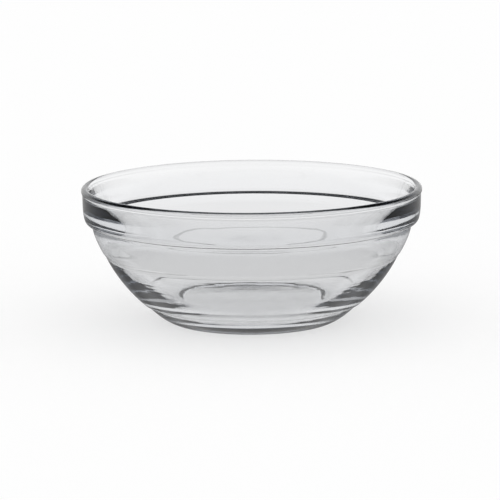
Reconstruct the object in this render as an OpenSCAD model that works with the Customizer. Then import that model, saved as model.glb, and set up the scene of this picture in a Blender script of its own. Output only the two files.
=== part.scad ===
// Dessert bowl of clear tempered glass, pressed in one piece.
// The rim bead, the upright band, the stacking ledge, the stepped wall and the foot are one turned outline.
// The axis of the bowl is Z, and the foot stands on z = 0.

/* [Overall] */
// Widest diameter, across the rim bead
bowl_d = 140; // [120:1:165]
// Height from the foot to the top of the rim bead
bowl_h = 55.5; // [50:0.5:64]

/* [Rim] */
// Diameter of the round rim bead
bead_d = 3; // [2.6:0.1:3.6]
// How far the bead stands out past the band
bead_proud = 0.4; // [0.2:0.05:0.7]

/* [Band] */
// Height of the upright band, from the middle of the bead down to the ledge
band_h = 13.3; // [10:0.5:15]
// How much the band's radius shrinks on its way down
band_taper = 0.7; // [0:0.1:1.2]
// Radius of the rounded corner between the band and the ledge
corner_r = 2.7; // [2:0.1:3]
// How far the ledge steps in under the band
ledge_w = 3.2; // [2.6:0.1:4]
// Height of the hollow curve that leads from the ledge to the wall
hollow_h = 1.6; // [1:0.1:2.4]

/* [Wall] */
// Thickness of the wall at its top, just under the ledge
ledge_t = 4; // [3.5:0.1:4.4]
// Thickness of the wall at the shoulder
shoulder_t = 3.2; // [2.8:0.1:3.8]
// Thickness of the wall at the heel
heel_t = 4.3; // [3.8:0.1:4.8]
// How far the wall steps in at the shoulder
shoulder_step = 0.4; // [0.1:0.05:0.6]
// How far the wall steps in at the heel
heel_step = 0.55; // [0.1:0.05:0.7]
// Length of each step, measured along the wall
step_run = 0.8; // [0.6:0.1:1.6]

/* [Foot] */
// Outer diameter of the flat ring that the bowl stands on
foot_d = 69.5; // [60:0.5:76]
// Width of the flat ring
foot_ring_w = 2.4; // [1.5:0.1:4]
// Depth of the hollow inside the ring
foot_hollow = 0.9; // [0.3:0.1:1.5]
// Width of the curved slope from the ring into the hollow
hollow_run = 3; // [2:0.1:5]

/* [Inside] */
// Thickness of the floor in the middle of the foot
floor_t = 4.3; // [3.6:0.1:4.8]
// Diameter of the flat middle of the inside floor
floor_d = 67; // [60:1:70]

/* [Hidden] */

// Sides of the turned body, and points along each curve of its outline and along the bead
turn_sides = 128;
curve_points = 8;
bead_points = 24;

// Angles, below the horizontal, that the band faces at its top and where its corner starts
band_lean = [3, 14];

rim_r = bowl_d / 2;
bead_r = bead_d / 2;
bead_z = bowl_h - bead_r;
band_top_r = rim_r - bead_proud;
band_low_r = band_top_r - band_taper;
ledge_z = bead_z - band_h;
// Angle below the bead's middle at which it meets the band, and the point where they meet
bead_meet = acos((bead_r - bead_proud) / bead_r);
band_top = [band_top_r, bead_z - bead_r * sin(bead_meet)];
corner = [band_low_r - corner_r * cos(band_lean[1]), ledge_z + corner_r];
foot_r = foot_d / 2;
floor_r = floor_d / 2;
floor_z = foot_hollow + floor_t;

// Angles, below the horizontal, that the outer wall faces at the ends of each zone
upper_lean = [10, 28];
middle_lean = [25, 48];
lower_lean = [46, 68];

// Angles, above the horizontal, that the inside wall faces under the bead, and opposite the ledge, the shoulder
// and the heel
inside_lean = [12, 28, 24, 51];

// Where the two steps start, as shares of the way from the foot's edge to the wall's top in radius and height
shoulder_shares = [0.87, 0.74];
heel_shares = [0.355, 0.2];

wall_top = [band_low_r - ledge_w, ledge_z - hollow_h];
shoulder_edge = between(shoulder_shares);
heel_edge = between(heel_shares);
middle_top = shoulder_edge + step_run * along(middle_lean[0]) - shoulder_step * facing(middle_lean[0]);
lower_top = heel_edge + step_run * along(lower_lean[0]) - heel_step * facing(lower_lean[0]);

// Where the hollow under the foot becomes flat, and the inside wall under the bead, opposite the ledge and
// opposite the two steps
hollow_r = foot_r - foot_ring_w - hollow_run;
inner_top = [rim_r - bead_r, bead_z] - bead_r * facing(inside_lean[0]);
inner_ledge = wall_top - ledge_t * facing(inside_lean[1]);
inner_shoulder = shoulder_edge - shoulder_t * facing(inside_lean[2]);
inner_heel = heel_edge - heel_t * facing(inside_lean[3]);

// Point at the given shares of the way from the foot's edge to the wall's top
function between(shares) = [
    foot_r + shares[0] * (wall_top[0] - foot_r),
    shares[1] * wall_top[1]
];

// Direction that a wall faces when it leans by this angle, and the direction down along that wall
function facing(lean) = [cos(lean), -sin(lean)];
function along(lean) = [-sin(lean), -cos(lean)];

// Smooth curve from p to q that leaves along the unit vector u and arrives along the unit vector v, without p
function curve(p, u, q, v) = [
    for (i = [1 : curve_points])
        let (t = i / curve_points, reach = norm(q - p))
            (1 + 2 * t) * pow(1 - t, 2) * p
            + t * pow(1 - t, 2) * reach * u
            + t * t * (3 - 2 * t) * q
            - t * t * (1 - t) * reach * v
];

// Arc about c from angle a to angle b, without its first point
function arc(c, r, a, b, points) = [
    for (i = [1 : points])
        c + r * [cos(a + (b - a) * i / points), sin(a + (b - a) * i / points)]
];

// Round bead, from the inside wall over the top and down to the band
function bead() = arc([rim_r - bead_r, bead_z], bead_r, 180 - inside_lean[0], -bead_meet, bead_points);

// Outer side of the glass, from the bead down to the flat ring
function outer_side() = concat(
    curve(band_top, along(band_lean[0]), corner + corner_r * facing(band_lean[1]), along(band_lean[1])),
    arc(corner, corner_r, -band_lean[1], -90, curve_points),
    curve([corner[0], ledge_z], [-1, 0], wall_top, along(upper_lean[0])),
    curve(wall_top, along(upper_lean[0]), shoulder_edge, along(upper_lean[1])),
    curve(shoulder_edge, along(upper_lean[1]), middle_top, along(middle_lean[0])),
    curve(middle_top, along(middle_lean[0]), heel_edge, along(middle_lean[1])),
    curve(heel_edge, along(middle_lean[1]), lower_top, along(lower_lean[0])),
    curve(lower_top, along(lower_lean[0]), [foot_r, 0], along(lower_lean[1]))
);

// Underside of the foot, from the flat ring to the axis
function under_side() = concat(
    [[foot_r - foot_ring_w, 0]],
    curve([foot_r - foot_ring_w, 0], [-1, 0], [hollow_r, foot_hollow], [-1, 0]),
    [[0, foot_hollow]]
);

// Inside of the glass, from the axis up to the bead
function inner_side() = concat(
    [[0, floor_z], [floor_r, floor_z]],
    curve([floor_r, floor_z], [1, 0], inner_heel, -along(inside_lean[3])),
    curve(inner_heel, -along(inside_lean[3]), inner_shoulder, -along(inside_lean[2])),
    curve(inner_shoulder, -along(inside_lean[2]), inner_ledge, -along(inside_lean[1])),
    curve(inner_ledge, -along(inside_lean[1]), inner_top, -along(inside_lean[0]))
);

// The glass body, cut through on one side of the axis
module section() {
    polygon(concat(outer_side(), under_side(), inner_side(), bead()));
}

module bowl() {
    color("lightcyan")
        rotate_extrude($fn = turn_sides)
            section();
}

bowl();
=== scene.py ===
from math import acos, cos, degrees, pi, radians, sin

import bmesh
import bpy
from bpy.props import FloatProperty, FloatVectorProperty, IntProperty, PointerProperty
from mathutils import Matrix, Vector


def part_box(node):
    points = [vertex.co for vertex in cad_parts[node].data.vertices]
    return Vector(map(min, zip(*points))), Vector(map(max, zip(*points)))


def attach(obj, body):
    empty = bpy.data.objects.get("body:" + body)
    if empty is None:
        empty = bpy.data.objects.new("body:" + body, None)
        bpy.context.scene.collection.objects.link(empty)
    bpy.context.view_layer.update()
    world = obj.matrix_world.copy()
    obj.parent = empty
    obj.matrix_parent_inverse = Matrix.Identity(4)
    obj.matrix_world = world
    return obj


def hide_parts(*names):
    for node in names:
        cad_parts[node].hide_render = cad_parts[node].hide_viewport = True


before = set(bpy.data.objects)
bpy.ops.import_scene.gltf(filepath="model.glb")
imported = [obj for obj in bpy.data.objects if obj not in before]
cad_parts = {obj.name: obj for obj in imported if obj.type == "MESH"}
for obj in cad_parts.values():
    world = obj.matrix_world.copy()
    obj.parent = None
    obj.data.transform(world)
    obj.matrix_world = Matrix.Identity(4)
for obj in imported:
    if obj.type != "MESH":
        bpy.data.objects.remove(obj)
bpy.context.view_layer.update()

bl_info = {
    "name": "Pressed Glass Dessert Bowl",
    "version": (1, 0, 0),
    "blender": (4, 5, 0),
    "location": "View3D > Sidebar > Dessert Bowl",
    "description": "A stackable bowl of clear pressed glass, on a pale table in a bright studio",
    "category": "Add Mesh",
}

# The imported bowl's box, which gives the radius of the rim and the height
BOWL_LOW, BOWL_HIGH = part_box("bowl")
RIM_RADIUS = (BOWL_HIGH[0] - BOWL_LOW[0]) / 2
BOWL_HEIGHT = BOWL_HIGH[2] - BOWL_LOW[2]


class BowlShape(bpy.types.PropertyGroup):
    """Sizes of the glass body, as turned about its axis."""

    bead_radius: FloatProperty(
        name="Bead radius", description="Half the thickness of the round rim",
        default=0.0015, min=0.0008, max=0.003, unit="LENGTH",
    )
    bead_proud: FloatProperty(
        name="Bead overhang", description="How far the rim bead stands out past the band",
        default=0.0004, min=0.0001, max=0.001, unit="LENGTH",
    )
    band_height: FloatProperty(
        name="Band height", description="From the middle of the bead down to the ledge",
        default=0.0133, min=0.008, max=0.02, unit="LENGTH",
    )
    band_taper: FloatProperty(
        name="Band taper", description="How much the band's radius shrinks on its way down",
        default=0.0007, min=0.0, max=0.002, unit="LENGTH",
    )
    corner_radius: FloatProperty(
        name="Corner radius", description="Rounding between the band and the ledge",
        default=0.0027, min=0.001, max=0.004, unit="LENGTH",
    )
    ledge_width: FloatProperty(
        name="Ledge width", description="How far the ledge steps in under the band",
        default=0.0032, min=0.0024, max=0.005, unit="LENGTH",
    )
    hollow_height: FloatProperty(
        name="Hollow height", description="Height of the curve from the ledge into the wall",
        default=0.0016, min=0.0008, max=0.003, unit="LENGTH",
    )
    ledge_thickness: FloatProperty(
        name="Ledge thickness", description="Thickness of the wall just under the ledge",
        default=0.004, min=0.0015, max=0.005, unit="LENGTH",
    )
    shoulder_thickness: FloatProperty(
        name="Shoulder thickness", description="Thickness of the wall at the shoulder",
        default=0.0032, min=0.0015, max=0.005, unit="LENGTH",
    )
    heel_thickness: FloatProperty(
        name="Heel thickness", description="Thickness of the wall at the heel",
        default=0.0043, min=0.0015, max=0.006, unit="LENGTH",
    )
    shoulder_step: FloatProperty(
        name="Shoulder step", description="How far the wall steps in at the shoulder",
        default=0.0004, min=0.0, max=0.001, unit="LENGTH",
    )
    heel_step: FloatProperty(
        name="Heel step", description="How far the wall steps in at the heel",
        default=0.00055, min=0.0, max=0.001, unit="LENGTH",
    )
    shoulder_run: FloatProperty(
        name="Shoulder run", description="Length of the sloping step at the shoulder, along the wall",
        default=0.0016, min=0.0004, max=0.004, unit="LENGTH",
    )
    heel_run: FloatProperty(
        name="Heel run", description="Length of the polished step at the heel, along the wall",
        default=0.0018, min=0.0004, max=0.004, unit="LENGTH",
    )
    foot_radius: FloatProperty(
        name="Foot radius", description="Outer radius of the flat ring under the bowl",
        default=0.03475, min=0.02, max=0.045, unit="LENGTH",
    )
    foot_ring_width: FloatProperty(
        name="Ring width", description="Width of the flat ring",
        default=0.0024, min=0.001, max=0.005, unit="LENGTH",
    )
    foot_hollow: FloatProperty(
        name="Foot hollow", description="Depth of the hollow inside the ring",
        default=0.0009, min=0.0002, max=0.002, unit="LENGTH",
    )
    hollow_run: FloatProperty(
        name="Hollow run", description="Width of the slope from the ring into the hollow",
        default=0.003, min=0.001, max=0.006, unit="LENGTH",
    )
    floor_thickness: FloatProperty(
        name="Floor thickness", description="Glass between the inside floor and the hollow",
        default=0.0043, min=0.002, max=0.007, unit="LENGTH",
    )
    floor_radius: FloatProperty(
        name="Floor radius", description="Radius of the flat middle of the inside",
        default=0.0335, min=0.015, max=0.036, unit="LENGTH",
    )
    turns: IntProperty(
        name="Turning steps", description="Steps of the full turn about the axis",
        default=288, min=64, max=400,
    )
    curve_steps: IntProperty(
        name="Curve steps", description="Points along each curve of the outline",
        default=10, min=4, max=24,
    )


class BowlGlass(bpy.types.PropertyGroup):
    """Colour and finish of the glass."""

    tint: FloatVectorProperty(
        name="Tint", description="Colour that the clear glass lets through above the ledge",
        subtype="COLOR", size=3, min=0.0, max=1.0, default=(1.0, 1.0, 1.0),
    )
    # Below the ledge the glass lets less light through, so it shows darker there
    low_tint: FloatVectorProperty(
        name="Low tint", description="Colour that the clear glass lets through below the ledge",
        subtype="COLOR", size=3, min=0.0, max=1.0, default=(0.915, 0.915, 0.915),
    )
    ior: FloatProperty(
        name="Refractive index", description="How strongly the glass bends light",
        default=1.52, min=1.3, max=1.7,
    )
    depth_colour: FloatVectorProperty(
        name="Depth colour", description="Colour that thick glass takes on",
        subtype="COLOR", size=3, min=0.0, max=1.0, default=(0.775, 0.79, 0.815),
    )
    depth_density: FloatProperty(
        name="Depth density", description="How fast thick glass darkens, per metre",
        default=80.0, min=0.0, max=400.0,
    )
    ring_roughness: FloatProperty(
        name="Ring roughness", description="Dullness of the worn ring that the bowl stands on",
        default=0.25, min=0.0, max=1.0,
    )
    wave_depth: FloatProperty(
        name="Wave depth", description="Depth of the broad waves in the surface",
        default=0.00006, min=0.0, max=0.001, unit="LENGTH",
    )
    ripple_depth: FloatProperty(
        name="Ripple depth", description="Depth of the fine level ripples in the lower wall",
        default=0.00003, min=0.0, max=0.0005, unit="LENGTH",
    )


class BowlStage(bpy.types.PropertyGroup):
    """Table, light and camera."""

    camera_distance: FloatProperty(
        name="Camera distance", description="From the camera to the point it looks at",
        default=1.1, min=0.3, max=3.0, unit="LENGTH",
    )
    camera_elevation: FloatProperty(
        name="Camera elevation", description="Angle of the camera above the table",
        default=radians(10.52), min=0.0, max=radians(89), subtype="ANGLE",
    )
    focal_share: FloatProperty(
        name="Focal length share", description="Focal length over the width of the sensor",
        default=5.327, min=1.0, max=12.0,
    )


# Angles, in degrees below the horizontal, that the band faces at its top and where its corner starts
BAND_LEAN = (3, 14)
# The same for the outer wall, at the ends of its three zones
UPPER_LEAN = (10, 28)
MIDDLE_LEAN = (25, 48)
LOWER_LEAN = (46, 68)
# Angles, in degrees above the horizontal, that the inside wall faces under the bead and opposite the ledge,
# the shoulder and the heel
INSIDE_LEAN = (12, 28, 24, 51)
# Where the two steps start, as shares of the way from the foot's edge to the wall's top in radius and height
SHOULDER_SHARES = (0.87, 0.74)
HEEL_SHARES = (0.355, 0.2)
# Points of the turned body that are closer than this are merged
MERGE_DISTANCE = 1e-7

# Height at which the wear of the foot ring ends
WORN_HEIGHT = 0.0005
# Heights at which the ripples start and are full
RIPPLE_ZONE = (0.036, 0.022)
# Heights at which the glass starts to turn darker with its lower tint, and is so in full
TINT_ZONE = (0.043, 0.034)
# Waves and ripples per metre along each axis, and the levels of finer noise in each
WAVE_SCALE = (110, 110, 150)
WAVE_DETAIL = 1.0
RIPPLE_SCALE = (30, 30, 420)
RIPPLE_DETAIL = 2.0
# Places of the two colours and the result among the sockets of a Mix node
COLOUR_LOW, COLOUR_HIGH, COLOUR_MIXED = 6, 7, 2

# Levels of light by elevation in degrees, alike all round the bowl, where 1 is white.
# Through one wall the pale table and the bright walls show, under a dark ceiling
THROUGH_LIGHT = (
    (-90, 0.9), (-50, 0.9), (-12, 1.0), (4, 1.0), (20, 0.01), (90, 0.01),
)
# Through both walls the shaded table under the bowl shows too, steeply down, and the table's far edge
UNDER_LIGHT = (
    (-90, 0.02), (-56, 0.02), (-46, 0.95), (-20, 1.0), (-13, 0.86),
    (-4, 0.86), (4, 1.0), (20, 0.01), (90, 0.01),
)
# The surface mirrors the pale table, its darker far part, a bright strip at the horizon and the dark ceiling
MIRROR_LIGHT = (
    (-90, 0.9), (-45, 0.9), (-27, 0.28), (-14, 0.28), (0, 0.9), (13, 0.9), (24, 0.05), (90, 0.05),
)
# Share of the light through the glass for what has run round inside the wall, and leaves it to the darker room
SIDE_SHARE = 0.55
# Level of the light on the table
ROOM_LIGHT = 1.0
# Depths of a light path past which it has gone through both walls, has run round inside one, or left the table
BOTH_WALLS = 2.5
RUN_ROUND = 2.5
LEFT_TABLE = 0.5
# Light runs along inside the glass wall for many bounces before it leaves
LIGHT_BOUNCES = 32

# The table's radius and sides, the grey that takes the light, and how far the camera sees that grey lifted
TABLE_RADIUS = 1.6
TABLE_SIDES = 128
TABLE_COLOUR = 0.5
TABLE_LIFT = 0.5

# The camera's sensor in millimetres, its reach, its roll in degrees, and the point it looks at: how far to the
# right of the bowl's axis, and how far under the top of the rim
SENSOR_WIDTH = 36
CAMERA_REACH = 50
CAMERA_ROLL = 0.4
AIM_RIGHT = 0.00056
AIM_UNDER_RIM = 0.0273


def facing(lean):
    """Unit vector that a wall faces when it leans by this angle in degrees."""
    return Vector((cos(radians(lean)), 0, -sin(radians(lean))))


def along(lean):
    """Unit vector down along that wall."""
    return Vector((-sin(radians(lean)), 0, -cos(radians(lean))))


def curve(p, u, q, v, steps):
    """Smooth curve from p to q that leaves along u and arrives along v, without p."""
    reach = (q - p).length
    points = []
    for i in range(1, steps + 1):
        t = i / steps
        points.append(
            (1 + 2 * t) * (1 - t) ** 2 * p + t * (1 - t) ** 2 * reach * u
            + t * t * (3 - 2 * t) * q - t * t * (1 - t) * reach * v
        )
    return points


def arc(centre, radius, start, end, steps):
    """Arc about a centre between two angles in degrees, without its first point."""
    points = []
    for i in range(1, steps + 1):
        angle = radians(start + (end - start) * i / steps)
        points.append(centre + radius * Vector((cos(angle), 0, sin(angle))))
    return points


def outline(shape):
    """Half section of the glass, from the inside floor's middle over the rim to the middle of the underside."""
    n = shape.curve_steps
    left, right = Vector((-1, 0, 0)), Vector((1, 0, 0))
    bead_z = BOWL_HEIGHT - shape.bead_radius
    band_top = RIM_RADIUS - shape.bead_proud
    band_low = band_top - shape.band_taper
    ledge_z = bead_z - shape.band_height
    wall_top = Vector((band_low - shape.ledge_width, 0, ledge_z - shape.hollow_height))

    def between(shares):
        radius = shape.foot_radius + shares[0] * (wall_top.x - shape.foot_radius)
        return Vector((radius, 0, shares[1] * wall_top.z))

    shoulder, heel = between(SHOULDER_SHARES), between(HEEL_SHARES)
    middle_top = shoulder + shape.shoulder_run * along(MIDDLE_LEAN[0])
    middle_top -= shape.shoulder_step * facing(MIDDLE_LEAN[0])
    lower_top = heel + shape.heel_run * along(LOWER_LEAN[0])
    lower_top -= shape.heel_step * facing(LOWER_LEAN[0])
    foot = Vector((shape.foot_radius, 0, 0))
    ring = Vector((shape.foot_radius - shape.foot_ring_width, 0, 0))
    hollow = Vector((ring.x - shape.hollow_run, 0, shape.foot_hollow))
    floor_z = shape.foot_hollow + shape.floor_thickness
    floor = Vector((shape.floor_radius, 0, floor_z))
    inner_ledge = wall_top - shape.ledge_thickness * facing(INSIDE_LEAN[1])
    inner_shoulder = shoulder - shape.shoulder_thickness * facing(INSIDE_LEAN[2])
    inner_heel = heel - shape.heel_thickness * facing(INSIDE_LEAN[3])
    bead = Vector((RIM_RADIUS - shape.bead_radius, 0, bead_z))
    bead_inside = bead - shape.bead_radius * facing(INSIDE_LEAN[0])
    meet = degrees(acos((shape.bead_radius - shape.bead_proud) / shape.bead_radius))
    corner_x = band_low - shape.corner_radius * cos(radians(BAND_LEAN[1]))
    corner = Vector((corner_x, 0, ledge_z + shape.corner_radius))

    points = [Vector((0, 0, floor_z)), floor]
    points += curve(floor, right, inner_heel, -along(INSIDE_LEAN[3]), 2 * n)
    points += curve(inner_heel, -along(INSIDE_LEAN[3]), inner_shoulder, -along(INSIDE_LEAN[2]), 2 * n)
    points += curve(inner_shoulder, -along(INSIDE_LEAN[2]), inner_ledge, -along(INSIDE_LEAN[1]), n)
    points += curve(inner_ledge, -along(INSIDE_LEAN[1]), bead_inside, -along(INSIDE_LEAN[0]), 2 * n)
    points += arc(bead, shape.bead_radius, 180 - INSIDE_LEAN[0], -meet, 3 * n)
    band_end = corner + shape.corner_radius * facing(BAND_LEAN[1])
    points += curve(points[-1], along(BAND_LEAN[0]), band_end, along(BAND_LEAN[1]), n)
    points += arc(corner, shape.corner_radius, -BAND_LEAN[1], -90, n)
    points += curve(Vector((corner_x, 0, ledge_z)), left, wall_top, along(UPPER_LEAN[0]), n)
    points += curve(wall_top, along(UPPER_LEAN[0]), shoulder, along(UPPER_LEAN[1]), n)
    # The step at the shoulder is a plain slope
    slope = (middle_top - shoulder).normalized()
    points += curve(shoulder, slope, middle_top, slope, n)
    points += curve(middle_top, along(MIDDLE_LEAN[0]), heel, along(MIDDLE_LEAN[1]), 2 * n)
    points += curve(heel, along(MIDDLE_LEAN[1]), lower_top, along(LOWER_LEAN[0]), n)
    points += curve(lower_top, along(LOWER_LEAN[0]), foot, along(LOWER_LEAN[1]), n)
    points += [ring]
    points += curve(ring, left, hollow, left, n)
    points += [Vector((0, 0, shape.foot_hollow))]
    return points


def feed(tree, socket, value):
    """Give a socket a number, or link it to another node's output."""
    if isinstance(value, bpy.types.NodeSocket):
        tree.links.new(value, socket)
    else:
        socket.default_value = value


def math_node(tree, operation, *values):
    """Math node on numbers or sockets; returns its output."""
    node = tree.nodes.new("ShaderNodeMath")
    node.operation = operation
    for socket, value in zip(node.inputs, values):
        feed(tree, socket, value)
    return node.outputs["Value"]


def mix_node(tree, share, low, high):
    """Mix of two numbers or sockets by a share."""
    node = tree.nodes.new("ShaderNodeMix")
    for name, value in (("Factor", share), ("A", low), ("B", high)):
        feed(tree, node.inputs[name], value)
    return node.outputs["Result"]


def ramp_node(tree, value, low, high):
    """Smooth step of a value from 0 at low to 1 at high."""
    node = tree.nodes.new("ShaderNodeMapRange")
    node.interpolation_type = "SMOOTHSTEP"
    node.inputs["From Min"].default_value = low
    node.inputs["From Max"].default_value = high
    tree.links.new(value, node.inputs["Value"])
    return node.outputs["Result"]


def noise_node(tree, place, scale, detail):
    """Soft noise with its own scale along each axis."""
    stretch = tree.nodes.new("ShaderNodeMapping")
    stretch.inputs["Scale"].default_value = scale
    tree.links.new(place, stretch.inputs["Vector"])
    node = tree.nodes.new("ShaderNodeTexNoise")
    node.inputs["Scale"].default_value = 1.0
    node.inputs["Detail"].default_value = detail
    tree.links.new(stretch.outputs["Vector"], node.inputs["Vector"])
    return node.outputs["Fac"]


def glass_material(glass):
    """Clear pressed glass, faintly wavy from the mould, rippled low down and worn dull under the foot."""
    material = bpy.data.materials.new("clear glass")
    material.use_nodes = True
    tree = material.node_tree
    nodes, links = tree.nodes, tree.links
    shader = nodes["Principled BSDF"]
    shader.inputs["IOR"].default_value = glass.ior
    shader.inputs["Transmission Weight"].default_value = 1.0
    depth = nodes.new("ShaderNodeVolumeAbsorption")
    depth.inputs["Color"].default_value = (*glass.depth_colour, 1)
    depth.inputs["Density"].default_value = glass.depth_density
    links.new(depth.outputs["Volume"], nodes["Material Output"].inputs["Volume"])

    place = nodes.new("ShaderNodeTexCoord").outputs["Object"]
    split = nodes.new("ShaderNodeSeparateXYZ")
    links.new(place, split.inputs["Vector"])
    height = split.outputs["Z"]
    # The glass is darker below the ledge, by height alone
    tint = nodes.new("ShaderNodeMix")
    tint.data_type = "RGBA"
    links.new(ramp_node(tree, height, *TINT_ZONE), tint.inputs["Factor"])
    tint.inputs[COLOUR_LOW].default_value = (*glass.tint, 1)
    tint.inputs[COLOUR_HIGH].default_value = (*glass.low_tint, 1)
    links.new(tint.outputs[COLOUR_MIXED], shader.inputs["Base Color"])
    worn = math_node(tree, "MULTIPLY", ramp_node(tree, height, WORN_HEIGHT, 0), glass.ring_roughness)
    links.new(worn, shader.inputs["Roughness"])

    waves = noise_node(tree, place, WAVE_SCALE, WAVE_DETAIL)
    waves = math_node(tree, "MULTIPLY", waves, glass.wave_depth)
    low = ramp_node(tree, height, *RIPPLE_ZONE)
    ripples = noise_node(tree, place, RIPPLE_SCALE, RIPPLE_DETAIL)
    ripples = math_node(tree, "MULTIPLY", ripples, glass.ripple_depth)
    surface = math_node(tree, "ADD", waves, math_node(tree, "MULTIPLY", ripples, low))
    bump = nodes.new("ShaderNodeBump")
    bump.inputs["Distance"].default_value = 1.0
    links.new(surface, bump.inputs["Height"])
    links.new(bump.outputs["Normal"], shader.inputs["Normal"])
    return material


class BOWL_OT_glass_body(bpy.types.Operator):
    """Turn the glass body of the bowl from its half section."""

    bl_idname = "bowl.glass_body"
    bl_label = "Glass Body"

    def execute(self, context):
        shape = context.scene.bowl_shape
        bm = bmesh.new()
        chain = [bm.verts.new(point) for point in outline(shape)]
        edges = [bm.edges.new(pair) for pair in zip(chain, chain[1:])]
        bmesh.ops.spin(
            bm, geom=chain + edges, cent=(0, 0, 0), axis=(0, 0, 1), angle=2 * pi,
            steps=shape.turns, use_merge=True,
        )
        bmesh.ops.remove_doubles(bm, verts=bm.verts, dist=MERGE_DISTANCE)
        bmesh.ops.recalc_face_normals(bm, faces=bm.faces)
        for face in bm.faces:
            face.smooth = True
        mesh = bpy.data.meshes.new("glass_body")
        bm.to_mesh(mesh)
        bm.free()
        body = bpy.data.objects.new("glass_body", mesh)
        context.scene.collection.objects.link(body)
        mesh.materials.append(glass_material(context.scene.bowl_glass))
        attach(body, "root")
        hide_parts("bowl")
        return {"FINISHED"}


class BOWL_OT_stage(bpy.types.Operator):
    """Lay the pale table, light it and set the camera."""

    bl_idname = "bowl.stage"
    bl_label = "Stage"

    def execute(self, context):
        stage = context.scene.bowl_stage
        world_light(context.scene)
        floor_disc(context.scene)
        camera = bpy.data.objects.new("camera", bpy.data.cameras.new("camera"))
        context.scene.collection.objects.link(camera)
        camera.data.sensor_width = SENSOR_WIDTH
        camera.data.lens = stage.focal_share * SENSOR_WIDTH
        camera.data.clip_end = CAMERA_REACH
        aim = Vector((AIM_RIGHT, 0, BOWL_HEIGHT - AIM_UNDER_RIM))
        tilt = stage.camera_elevation
        camera.location = aim + stage.camera_distance * Vector((0, -cos(tilt), sin(tilt)))
        camera.rotation_euler = (pi / 2 - tilt, radians(CAMERA_ROLL), 0)
        context.scene.camera = camera
        context.scene.view_settings.view_transform = "Standard"
        context.scene.cycles.max_bounces = LIGHT_BOUNCES
        context.scene.cycles.glossy_bounces = LIGHT_BOUNCES
        context.scene.cycles.transmission_bounces = LIGHT_BOUNCES
        return {"FINISHED"}


def light_ramp(tree, share, levels):
    """Brightness that follows the elevation, whose share goes from 0 straight down to 1 straight up."""
    ramp = tree.nodes.new("ShaderNodeValToRGB")
    ramp.color_ramp.interpolation = "EASE"
    tree.links.new(share, ramp.inputs["Fac"])
    stops = ramp.color_ramp.elements
    while len(stops) < len(levels):
        stops.new(1.0)
    for stop, (angle, level) in zip(stops, levels):
        stop.position = 0.5 + angle / 180
        stop.color = (level, level, level, 1)
    return ramp.outputs["Color"]


def world_light(scene):
    """White surroundings, even light on the table, and for the glass a bright studio under a dark ceiling."""
    world = bpy.data.worlds.new("studio")
    world.use_nodes = True
    scene.world = world
    tree = world.node_tree
    nodes, links = tree.nodes, tree.links
    nodes.clear()
    out = nodes.new("ShaderNodeOutputWorld")
    background = nodes.new("ShaderNodeBackground")
    links.new(background.outputs["Background"], out.inputs["Surface"])
    coordinates = nodes.new("ShaderNodeTexCoord")
    split = nodes.new("ShaderNodeSeparateXYZ")
    links.new(coordinates.outputs["Generated"], split.inputs["Vector"])
    elevation = math_node(tree, "ARCSINE", split.outputs["Z"])
    share = math_node(tree, "MULTIPLY_ADD", elevation, 1 / pi, 0.5)
    path = nodes.new("ShaderNodeLightPath")
    one_wall = light_ramp(tree, share, THROUGH_LIGHT)
    two_walls = light_ramp(tree, share, UNDER_LIGHT)
    mirrored = light_ramp(tree, share, MIRROR_LIGHT)
    crossed = math_node(tree, "GREATER_THAN", path.outputs["Transmission Depth"], BOTH_WALLS)
    run_round = math_node(tree, "GREATER_THAN", path.outputs["Glossy Depth"], RUN_ROUND)
    scattered = math_node(tree, "GREATER_THAN", path.outputs["Diffuse Depth"], LEFT_TABLE)
    through = mix_node(tree, crossed, one_wall, two_walls)
    through = math_node(tree, "MULTIPLY", through, mix_node(tree, run_round, 1.0, SIDE_SHARE))
    light = mix_node(tree, path.outputs["Is Transmission Ray"], mirrored, through)
    light = mix_node(tree, scattered, light, ROOM_LIGHT)
    light = mix_node(tree, path.outputs["Is Camera Ray"], light, 1.0)
    links.new(light, background.inputs["Strength"])
    background.inputs["Color"].default_value = (1, 1, 1, 1)


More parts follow.
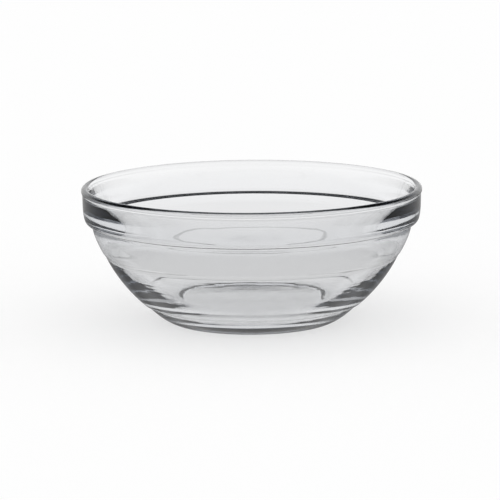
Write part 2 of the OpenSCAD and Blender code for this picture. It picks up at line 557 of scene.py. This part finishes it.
def floor_disc(scene):
    """Round pale table under the bowl, which keeps the bowl's soft shadow."""
    bm = bmesh.new()
    bmesh.ops.create_circle(bm, cap_ends=True, segments=TABLE_SIDES, radius=TABLE_RADIUS)
    mesh = bpy.data.meshes.new("table")
    bm.to_mesh(mesh)
    bm.free()
    floor = bpy.data.objects.new("table", mesh)
    scene.collection.objects.link(floor)
    # Rays in the glass pass the table by, because the levels of light below the horizon stand for it
    floor.visible_glossy = floor.visible_transmission = False
    material = bpy.data.materials.new("table")
    material.use_nodes = True
    tree = material.node_tree
    tree.nodes.clear()
    out = tree.nodes.new("ShaderNodeOutputMaterial")
    path = tree.nodes.new("ShaderNodeLightPath")
    paper = tree.nodes.new("ShaderNodeBsdfDiffuse")
    paper.inputs["Color"].default_value = (TABLE_COLOUR, TABLE_COLOUR, TABLE_COLOUR, 1)
    lift = tree.nodes.new("ShaderNodeEmission")
    lifted = math_node(tree, "MULTIPLY", path.outputs["Is Camera Ray"], TABLE_LIFT)
    tree.links.new(lifted, lift.inputs["Strength"])
    both = tree.nodes.new("ShaderNodeAddShader")
    tree.links.new(paper.outputs["BSDF"], both.inputs[0])
    tree.links.new(lift.outputs["Emission"], both.inputs[1])
    tree.links.new(both.outputs["Shader"], out.inputs["Surface"])
    mesh.materials.append(material)


class BOWL_PT_panel(bpy.types.Panel):
    """The sizes, the finish and the stage of the bowl, with a button for each step."""

    bl_label = "Dessert Bowl"
    bl_space_type = "VIEW_3D"
    bl_region_type = "UI"
    bl_category = "Dessert Bowl"

    def draw(self, context):
        layout = self.layout
        for group in (context.scene.bowl_shape, context.scene.bowl_glass, context.scene.bowl_stage):
            column = layout.column()
            for name in group.__annotations__:
                column.prop(group, name)
        layout.operator("bowl.glass_body")
        layout.operator("bowl.stage")


CLASSES = (BowlShape, BowlGlass, BowlStage, BOWL_OT_glass_body, BOWL_OT_stage, BOWL_PT_panel)


def register():
    """Add the classes, and the sizes and finishes to the scene."""
    for cls in CLASSES:
        bpy.utils.register_class(cls)
    bpy.types.Scene.bowl_shape = PointerProperty(type=BowlShape)
    bpy.types.Scene.bowl_glass = PointerProperty(type=BowlGlass)
    bpy.types.Scene.bowl_stage = PointerProperty(type=BowlStage)


def unregister():
    """Take all of it away again."""
    del bpy.types.Scene.bowl_shape
    del bpy.types.Scene.bowl_glass
    del bpy.types.Scene.bowl_stage
    for cls in reversed(CLASSES):
        bpy.utils.unregister_class(cls)


def main():
    """Make the bowl and its stage."""
    register()
    bpy.ops.bowl.glass_body()
    bpy.ops.bowl.stage()


if __name__ == "__main__":
    main()
